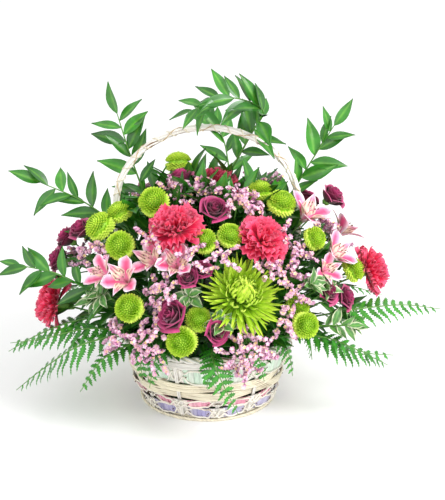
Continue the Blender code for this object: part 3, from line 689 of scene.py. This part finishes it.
def make_frond(piece, line, half_width, pairs):
    """A leatherleaf frond: a stalk with toothed leaflets in pairs, the longest near its foot."""
    shares = run_along(line) / run_along(line)[-1]

    def at(share):
        return np.array([np.interp(share, shares, line[:, i]) for i in range(3)])

    for k in range(pairs):
        share = 0.12 + 0.87 * k / pairs
        place = at(share)
        along = unit(at(min(share + 0.02, 1)) - at(share - 0.02))
        out = UP + unit((place[0], place[1], 0)) * 0.7
        out = unit(out - out.dot(along) * along)
        taper = min(1, 0.5 + 3.2 * k / pairs) * (1 - share) ** 0.75
        reach = half_width * MM * taper * 1.12 + 2.5 * MM
        for side in (-1, 1):
            grow = unit(np.cross(out, along) * side + along * 0.55 - out * rng.uniform(0.05, 0.3))
            add_pinna(piece, place, grow, out, reach, reach * 0.2 + 6.2 * MM)
    rod(piece, line, np.linspace(1.2, 0.4, len(line)) * MM, STEM_GREEN, "stem", 6)


# ---------------------------------------------------------------- stems and sprigs
SHORT_GREEN_PIECES = 4
SHORT_GREENS = 260
SHORT_GREENS_DOME = np.array((176, 104, 176)) * MM
RIM_LEAVES = 230
FRINGE_FRONDS = 17
TUFT_LEAVES = 9


def raised(target):
    """The direction from the hub to a target, lifted where the stem would meet the rim."""
    direction = unit(target - HUB)
    if direction[2] >= math.sin(LOWEST_STEM_SLOPE):
        return direction
    level = unit((direction[0], direction[1], 0))
    return level * math.cos(LOWEST_STEM_SLOPE) + UP * math.sin(LOWEST_STEM_SLOPE)


def root_of(direction):
    """Where a stem in this direction starts, inside the foam."""
    level = math.hypot(direction[0], direction[1])
    return HUB + direction * (ROOT_DISTANCE + ROOT_DISTANCE_LOW_STEM * level)


def in_box(node, place):
    """The place, kept inside the CAD node's box."""
    low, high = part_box(node)
    return np.clip(place, low, high)


def stem_start(target):
    """The direction of a sprig's stem, and the point where the stem turns into the sprig."""
    direction = raised(target)
    reach = max(np.linalg.norm(target - HUB), RIM_REACH * math.cos(math.asin(direction[2])))
    return direction, HUB + direction * reach


def make_bloom_stems(table, slot, bloom, stem_radius, neck):
    """For each group, one stem that forks, with a bloom on each fork; neck is the bloom's depth."""
    for node, blooms in table.items():
        piece = Piece()
        places = [in_box(node, np.array(b[:3]) * MM) for b in blooms]
        target = sum(places) / len(places)
        direction = raised(target)
        reach = np.linalg.norm(target - HUB) * FORK_DISTANCE
        if direction[2] < math.sin(2 * LOWEST_STEM_SLOPE):
            reach = max(reach, RIM_REACH)
        fork = HUB + direction * reach
        rod(piece, [root_of(direction), fork], stem_radius, STEM_GREEN, "stem")
        for place, (_, _, _, size) in zip(places, blooms):
            axis = unit(place - fork)
            end = place - axis * size * MM * neck
            rod(piece, [fork - direction * stem_radius, end], stem_radius * 0.75, STEM_GREEN, "stem")
            bloom(piece, place, axis, size * MM)
            if node == "carnation_top":
                piece.tints = [tint * TOP_CARNATION_SHADE for tint in piece.tints]
        piece.make(node + "_flowers", [node], slot)


def make_sprigs(table, slot, length, width, spread, edge=None):
    """For each sprig, a curved stem with leaves that lean out to either side of it in turn."""
    for node, (points, leaves) in table.items():
        piece = Piece()
        places = [np.array(p) * MM for p in points]
        direction, start = stem_start(places[0])
        line = smooth_line([start, *places[1:]], 8)
        full = np.vstack([root_of(direction), line])
        rod(piece, full, np.linspace(1.3, 0.6, len(full)) * MM, STEM_GREEN, "stem")
        for k in range(leaves):
            position = (len(line) - 1) * (0.12 + 0.88 * k / (leaves - 1))
            i = min(int(position), len(line) - 2)
            place = line[i] + (line[i + 1] - line[i]) * (position - i)
            along = unit(line[i + 1] - line[i])
            face = unit(np.array((0, -0.7, 0.3)) + unit(place - HUB) * 0.6)
            across = unit(np.cross(along, face)) * (1 if k % 2 else -1)
            lean = spread * rng.uniform(0.5, 1.45) if k < leaves - 1 else 0.05
            grow = along * math.cos(lean) + across * math.sin(lean) + face * rng.uniform(-0.5, 0.55)
            size = rng.uniform(0.72, 1.08) * (1 - 0.22 * (k / leaves) ** 3)
            roll = unit(face + across * rng.uniform(-0.6, 0.6))
            broad = width * size * rng.uniform(0.8, 1.05)
            make_leaf(piece, place, grow, roll, length * size, broad, slot, edge)
        piece.make(node + "_leaves", [node], slot)


def make_fronds():
    """Each frond of the CAD model, on its stem from the foam."""
    for node, (points, half_width, pairs) in FERNS.items():
        piece = Piece()
        places = [np.array(p) * MM for p in points]
        direction, start = stem_start(places[0])
        line = smooth_line([start, *places[1:]], 14)
        rod(piece, [root_of(direction), line[0]], 1.3 * MM, STEM_GREEN, "stem")
        make_frond(piece, line, half_width, pairs)
        piece.make(node + "_frond", [node], "fern")


def level_way(turn):
    return np.array((math.cos(turn), math.sin(turn), 0))


def make_filler():
    """Short greens between the flower stems: they hide the foam and the stems, as a florist does."""
    _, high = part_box("foam")
    middle = UP * (high.z - 12 * MM)
    for part in range(SHORT_GREEN_PIECES):
        piece = Piece()
        for k in range(SHORT_GREENS):
            turn = (k + SHORT_GREENS * part) * GOLDEN_ANGLE
            slope = math.radians(rng.uniform(-2, 82))
            way = level_way(turn) * math.cos(slope) + UP * math.sin(slope)
            base = middle + way * SHORT_GREENS_DOME * rng.uniform(0.45, 0.95)
            grow = unit(way + scatter(0.7))
            face = unit(UP + way * 0.8 + scatter(0.4))
            size = rng.uniform(30, 44) * MM
            make_leaf(piece, base, grow, face, size, size * rng.uniform(0.3, 0.42))
        piece.make(f"short_greens_{part + 1}", slot="ruscus")


def make_rim_greens():
    """Leaves that cover the edge of the foam, all the way round."""
    piece = Piece()
    for k in range(RIM_LEAVES):
        out = level_way(k * GOLDEN_ANGLE)
        base = out * rng.uniform(76, 106) * MM + UP * rng.uniform(97, 118) * MM
        sway = (rng.uniform(-0.8, 0.8), rng.uniform(-0.8, 0.8), rng.uniform(-0.1, 0.6))
        size = rng.uniform(24, 36) * MM
        width = size * rng.uniform(0.34, 0.45)
        make_leaf(piece, base, unit(out + sway), unit(out * 0.5 + UP), size, width)
    piece.make("rim_greens", slot="ruscus")


def make_fern_fringe():
    """Small fern tips that spill over the rim, and larger fronds at the sides and the back."""
    piece = Piece()
    for k in range(FRINGE_FRONDS):
        turn = TURN * (k + rng.uniform(-0.25, 0.25)) / FRINGE_FRONDS - math.pi / 2
        sway = rng.uniform(-0.16, 0.16)
        shoulder, tip = rng.uniform(106, 112), rng.uniform(58, 72)
        steps = ((98, 108, 0), (119, shoulder, 0.3), (130, 92, 0.7), (133, tip, 1))
        points = [(level_way(turn + sway * part) * radius + UP * z) * MM for radius, z, part in steps]
        make_frond(piece, smooth_line(points, 8), 19, 8)
    for points, half_width, pairs in SIDE_FRONDS:
        make_frond(piece, smooth_line([np.array(p) * MM for p in points], 10), half_width, pairs)
    piece.make("fern_fringe", slot="fern")


def make_loose_pittosporum():
    """Small tufts of cream-edged leaves tucked between the blooms."""
    piece = Piece()
    for spot in LOOSE_PITTOSPORUM:
        place = np.array(spot) * MM
        axis = unit(place - HUB)
        rod(piece, [place - axis * 40 * MM, place + axis * 6 * MM], 0.8 * MM, STEM_GREEN, "stem", 5)
        for k in range(TUFT_LEAVES):
            grow, _ = around(axis, k * GOLDEN_ANGLE, rng.uniform(0.5, 1.4))
            size = rng.uniform(17, 25) * MM
            base = place - axis * (TUFT_LEAVES - 1 - k) * MM
            make_leaf(piece, base, grow, axis, size, size * 0.5, "pittosporum", CREAM_EDGE)
    piece.make("loose_pittosporum", slot="pittosporum")


def make_statice_filler():
    """Loose tufts of statice on thin branches among the blooms."""
    piece = Piece()
    for spot in LOOSE_STATICE:
        place = np.array(spot) * MM
        axis = unit(place - HUB)
        rod(piece, [place - axis * 50 * MM, place], 0.8 * MM, STEM_GREEN, "stem", 5)
        make_statice(piece, place, axis, 9 * MM)
    piece.make("loose_statice", slot="statice")


# ---------------------------------------------------------------- basket
CREAM, WHITE_WASH, TAN = rgb("EFE6CE"), rgb("F1EDE6"), rgb("C9AE86")
LAVENDER, PINK_CHIP, MINT = rgb("ABA4D2"), rgb("F5A0BC"), rgb("C4E8CE")
BROWN_KNOT = rgb("5B3A22")
COIL_TINT = WHITE_WASH * (1, 0.98, 0.93)

REEDS = 4
RING_STEPS = 144
COIL_STEPS = 900
BASE_RINGS = 18
BASE_HEIGHT = 3 * MM
KNOT_HEIGHTS = np.array((26, 48, 81)) * MM


def wall_radius(z):
    """The radius of the wall at a height, both in metres."""
    heights, radii = zip(*WALL_LINE)
    return np.interp(np.asarray(z) / MM, heights, radii) * MM


def weave_offset(angle, side):
    """How far a course stands out of the wall or into it, as it passes in front of or behind a stake."""
    return side * WEAVE * np.cos(STAKES / 2 * (angle - FIRST_STAKE_ANGLE))


def circle(angles, radii, heights):
    return np.stack([radii * np.cos(angles), radii * np.sin(angles), heights], 1)


def ring_line(z, side, out, lift, waves, phase):
    """A closed line round the wall that runs in front of and behind the stakes."""
    angles = TURN * np.arange(RING_STEPS + 1) / RING_STEPS
    heights = z + lift * np.cos(waves * angles + phase)
    return circle(angles, wall_radius(heights) + weave_offset(angles, side) + out, heights)


def make_reed_band(low, high, side, tint):
    """A woven course: reeds laid one above the other, a little uneven."""
    piece = Piece()
    pitch = (high - low) * MM / REEDS
    for row in range(REEDS):
        z = low * MM + pitch * (row + 0.5)
        out = rng.uniform(-0.25, 0.25) * MM
        line = ring_line(z, side, out, 0.25 * MM, 7, rng.uniform(0, TURN))
        rod(piece, line, pitch * 0.53, tint * (1 + rng.uniform(-0.12, 0.12)), "willow", 7)
    return piece


def add_chips(piece, middle, tall, side, tint, chips, washed):
    """Flat wood chips that overlap like scales: painted between the stakes, whitewashed at them."""
    for k in range(chips):
        angle = TURN * k / chips
        u, v, quads = grid(5, 5)
        angles = angle + v * TURN / chips * 0.66
        heights = middle + (u - 0.5) * tall * 0.98 + 0.4 * MM * rng.uniform(-1, 1)
        radii = wall_radius(heights) + weave_offset(angles, side) + 0.9 * MM + 0.6 * MM * v
        between = abs(math.sin(STAKES / 2 * (angle - FIRST_STAKE_ANGLE)))
        wash = 1 - np.clip(3 * between - 1.2, 0, 1) * (1 - rng.uniform(0, washed))
        tone = mixed(tint, WHITE_WASH, wash)
        grain = np.stack([u * tall + k * 0.03, v * 3 * MM, np.full(len(u), k * 0.01)], 1)
        piece.add(circle(angles, radii, heights), quads, tone * rng.uniform(0.86, 1.1), "chip", grain)
        # The inner face is the chip's colour at 0.8: painted shade on the side that faces into the basket.
        inner = circle(angles, radii - 1.3 * MM, heights)
        piece.add(inner, quads[:, ::-1], tone * 0.8, "chip", grain)


def add_coils(piece, middle, tall, side):
    """Two wicker strands that coil over each stake and edge the chips between the stakes."""
    angles = TURN * np.arange(COIL_STEPS + 1) / COIL_STEPS
    near = np.cos(STAKES / 2 * (angles - FIRST_STAKE_ANGLE)) ** 4
    for edge in (-1, 1):
        coil = STAKES * 3 * angles + edge * 1.2
        heights = middle + edge * 0.45 * tall * (1 - near) + 0.42 * tall * near * np.sin(coil)
        radii = wall_radius(heights) + weave_offset(angles, side) + (2.2 + 0.6 * np.cos(coil)) * MM
        rod(piece, circle(angles, radii, heights), 1.05 * MM, COIL_TINT, "willow", 6)


def add_strand_ends(piece, middle, side):
    """The short brown ends of the strands, two to each stake."""
    for k in range(STAKES * 2):
        angle = FIRST_STAKE_ANGLE + TURN * (k + 0.5) / STAKES / 2
        radius = wall_radius(middle) + weave_offset(angle, side) + 3.4 * MM
        place = level_way(angle) * radius + UP * middle
        half = unit((-math.sin(angle), math.cos(angle), rng.uniform(-1.5, 1.5))) * 1.5 * MM
        rod(piece, [place - half, place + half], 0.5 * MM, BROWN_KNOT, "stem", 5)


def make_chip_band(low, high, side, tint, chips, washed):
    """A course of painted chips with coiled strands over them."""
    piece = Piece()
    middle, tall = (low + high) / 2 * MM, (high - low) * MM
    add_chips(piece, middle, tall, side, tint, chips, washed)
    add_coils(piece, middle, tall, side)
    add_strand_ends(piece, middle, side)
    return piece


def make_basket_wall():
    """The six courses, from the foot to the rim."""
    make_chip_band(4.8, 19.6, 1, LAVENDER, 96, 0.35).make(
        "lavender_chips", ["band_lavender"], "lavender_chip")
    make_chip_band(20.3, 30.8, -1, PINK_CHIP, 104, 0.3).make("pink_chips", ["band_pink"], "pink_chip")
    make_reed_band(31.5, 42.3, 1, CREAM).make("lower_reeds", ["band_reed_lower"], "willow")
    make_reed_band(43.0, 53.5, -1, CREAM).make("upper_reeds", ["band_reed_upper"], "willow")
    make_chip_band(54.4, 75.6, 1, MINT, 92, 0.75).make("mint_chips", ["band_mint"], "mint_chip")
    make_reed_band(76.4, 86.4, -1, WHITE_WASH).make("top_reeds", ["band_top"], "willow")


def twisted(piece, line, radius, strands, pitch, tint, strand_radius, sides=6):
    """Strands that wind round a line, each a little off the shade of the next."""
    frames, run = frames_along(line, (0.1, 1, 0.2)), run_along(line)
    for k in range(strands):
        turns = TURN * (k / strands + run / pitch)
        path = [place + radius * (math.cos(turn) * a + math.sin(turn) * b)
                for place, turn, (a, b) in zip(line, turns, frames)]
        rod(piece, path, strand_radius, tint * rng.uniform(0.86, 1.06), "willow", sides)


def ring(radius, z, steps):
    """A closed level circle of points."""
    angles = TURN * np.arange(steps + 1) / steps
    return circle(angles, radius, np.full(steps + 1, z))


def make_twisted_ring(name, node, core, core_sides, winding, tint, pitch, strand, steps):
    """A ring of three strands wound round a core, as thick as the CAD ring that it replaces."""
    piece = Piece()
    low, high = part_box(node)
    middle, half = (low.z + high.z) / 2, (high.z - low.z) / 2
    radius = (high.x - low.x) / 2 - half
    rod(piece, ring(radius, middle, RING_STEPS), half * core, CREAM, "willow", core_sides)
    twisted(piece, ring(radius, middle, steps), half * winding, 3, pitch * MM, tint, half * strand)
    piece.make(name, [node], "willow")


def make_rim_and_foot():
    make_twisted_ring("rim_twist", "rim_hoop", 0.62, 8, 0.62, WHITE_WASH, 42, 0.42, 720)
    make_twisted_ring("foot_twist", "foot_cord", 0.6, 6, 0.5, CREAM, 14, 0.5, 900)


def add_stake(piece, k):
    """A pair of whitewashed slats side by side, knotted where a course passes behind them."""
    angle = FIRST_STAKE_ANGLE + TURN * k / STAKES
    out, across = level_way(angle), level_way(angle + math.pi / 2)
    for shift in (-1.15, 1.15):
        line = [out * wall_radius(z) + across * (shift + 0.2 * math.sin(z * 90 + k)) * MM + UP * z
                for z in np.linspace(1.2, 90, 14) * MM]
        rod(piece, line, 1.25 * MM, WHITE_WASH * rng.uniform(0.9, 1.05), "willow", 6)
    for z in KNOT_HEIGHTS:
        place = out * (wall_radius(z) + 1.6 * MM) + UP * z
        half = across * 2.6 * MM
        rod(piece, [place - half, place, place + half], 0.8 * MM, BROWN_KNOT, "stem", 5)


def add_base(piece):
    """The woven base: rings that pass over and under the spokes."""
    for k in range(BASE_RINGS):
        line = ring((2.2 + (k + 0.5) * 4.2) * MM, BASE_HEIGHT, 96)
        line[:, 2] += 0.6 * MM * np.cos(STAKES / 2 * np.linspace(0, TURN, 97)) * (1 if k % 2 else -1)
        rod(piece, line, 2.25 * MM, CREAM * rng.uniform(0.9, 1.04), "willow", 7)
    for k in range(STAKES):
        out = level_way(FIRST_STAKE_ANGLE + TURN * k / STAKES)
        spoke = [out * 3 * MM + UP * BASE_HEIGHT, out * 79 * MM + UP * BASE_HEIGHT]
        rod(piece, spoke, 1.6 * MM, CREAM, "willow", 6)


def make_frame():
    """The base and the stakes."""
    piece = Piece()
    for k in range(STAKES):
        add_stake(piece, k)
    add_base(piece)
    piece.make("stakes_and_base", ["basket_frame"], "willow")


def handle_line(steps):
    """The line of the handle: up one leg, over the arch and down the other leg."""
    leg = [np.array((x, 0, z)) * MM for x, z in HANDLE_LEG]
    side = smooth_line(leg, steps)
    angles = np.linspace(0, math.pi, 12 * steps)[1:-1]
    centre = leg[-1][2]
    arch = np.stack([leg[-1][0] * np.cos(angles), 0 * angles, centre + ARCH_HEIGHT * np.sin(angles)], 1)
    return np.vstack([side, arch, side[::-1] * (-1, 1, 1)])


def make_handle():
    """Whitewashed willow rods bound side by side, wound with a thin split cane."""
    piece = Piece()
    line = handle_line(16)
    twisted(piece, line, 2.3 * MM, 4, 190 * MM, WHITE_WASH, 1.85 * MM, sides=7)
    dense = handle_line(60)
    twisted(piece, dense, 3.9 * MM, 1, 17 * MM, CREAM, 0.75 * MM, sides=5)
    twisted(piece, dense, 3.9 * MM, 1, -46 * MM, TAN, 0.6 * MM, sides=5)
    piece.make("bound_handle", ["handle"], "willow")


def make_basket():
    make_frame()
    make_basket_wall()
    make_rim_and_foot()
    make_handle()
    for node in ("liner", "foam"):
        dress_green(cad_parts[node].data)


def dress_green(mesh):
    """Puts a dark mottled green on a CAD shape that is kept as it stands."""
    tint = mesh.attributes.new("Tint", "FLOAT_COLOR", "POINT")
    tint.data.foreach_set("color", np.tile([*FERN_DEEP, 1.0], len(mesh.vertices)).astype(np.float32))
    mesh.materials.clear()
    mesh.materials.append(MATERIALS["fern"])


# ---------------------------------------------------------------- light, floor and camera
FLOOR_SIDE = 12.0
FLOOR_WHITES = (0.93, 0.96)
WORLD_STRENGTH = 1.05
CAMERA_LENS, CAMERA_SENSOR = 114, 36
CAMERA_ELEVATION, CAMERA_DISTANCE = math.radians(21), 1.9
CAMERA_TARGET = Vector((0.018, 0, 0.188))


def make_floor():
    """A wide sheet of pale paper."""
    u, v, quads = grid(2, 2)
    mesh = bpy.data.meshes.new("floor")
    corners = [((a - 0.5) * FLOOR_SIDE, b * FLOOR_SIDE / 2, 0) for a, b in zip(u, v)]
    mesh.from_pydata(corners, [], quads[:, ::-1].tolist())
    made = bpy.data.materials.new("floor_paper")
    made.use_nodes = True
    nodes, links = made.node_tree.nodes, made.node_tree.links
    shader = nodes["Principled BSDF"]
    shader.inputs["Roughness"].default_value = 0.9
    shader.inputs["Specular IOR Level"].default_value = 0.1
    noise = noise_node(nodes, 60, 2)
    ramp = nodes.new("ShaderNodeValToRGB")
    for element, white in zip(ramp.color_ramp.elements, FLOOR_WHITES):
        element.color = (white, white, white, 1)
    links.new(noise.outputs["Fac"], ramp.inputs["Fac"])
    links.new(ramp.outputs["Color"], shader.inputs["Base Color"])
    mesh.materials.append(made)
    floor = bpy.data.objects.new("floor", mesh)
    bpy.context.scene.collection.objects.link(floor)


def aimed(name, data, place, target):
    """Adds a light or a camera to the scene, turned towards the target."""
    obj = bpy.data.objects.new(name, data)
    obj.location = place
    obj.rotation_euler = (Vector(target) - Vector(place)).to_track_quat("-Z", "Y").to_euler()
    bpy.context.scene.collection.objects.link(obj)
    return obj


def make_light(name, place, target, size, power):
    light = bpy.data.lights.new(name, "AREA")
    light.shape = "DISK"
    light.size = size
    light.energy = power
    aimed(name, light, place, target)


def make_world():
    world = bpy.data.worlds.new("studio")
    bpy.context.scene.world = world
    world.use_nodes = True
    background = world.node_tree.nodes["Background"]
    background.inputs["Color"].default_value = (1, 1, 1, 1)
    background.inputs["Strength"].default_value = WORLD_STRENGTH


def make_camera():
    data = bpy.data.cameras.new("camera")
    data.lens, data.sensor_width = CAMERA_LENS, CAMERA_SENSOR
    back = Vector((0, -math.cos(CAMERA_ELEVATION), math.sin(CAMERA_ELEVATION)))
    place = CAMERA_TARGET + CAMERA_DISTANCE * back
    bpy.context.scene.camera = aimed("camera", data, place, CAMERA_TARGET)


def main():
    make_basket()
    make_bloom_stems(CARNATIONS, "carnation", make_carnation, 1.6 * MM, 1.0)
    make_bloom_stems(SPIDER_MUMS, "spider_mum", make_spider_mum, 1.8 * MM, 0.6)
    make_bloom_stems(POMPONS, "pompon", make_pompon, 1.3 * MM, 0.6)
    make_bloom_stems(ROSES, "rose", make_rose, 1.3 * MM, 1.05)
    make_bloom_stems(ALSTROEMERIAS, "alstroemeria", make_alstroemeria, 1.4 * MM, 1.0)
    make_bloom_stems(STATICES, "statice", make_statice, 1.1 * MM, 0.8)
    make_sprigs(RUSCUS, "ruscus", 47 * MM, 18 * MM, 0.75)
    make_sprigs(PITTOSPORUM, "pittosporum", 24 * MM, 11 * MM, 0.95, CREAM_EDGE)
    make_fronds()
    make_filler()
    make_rim_greens()
    make_fern_fringe()
    make_loose_pittosporum()
    make_statice_filler()
    make_floor()
    make_light("key", (1.4, -1.0, 1.5), (0, 0, 0.15), 0.9, 32)
    make_light("fill", (-1.4, -1.6, 1.2), (0, 0, 0.2), 1.6, 8)
    make_world()
    make_camera()
    bpy.context.scene.view_settings.view_transform = "Standard"


main()
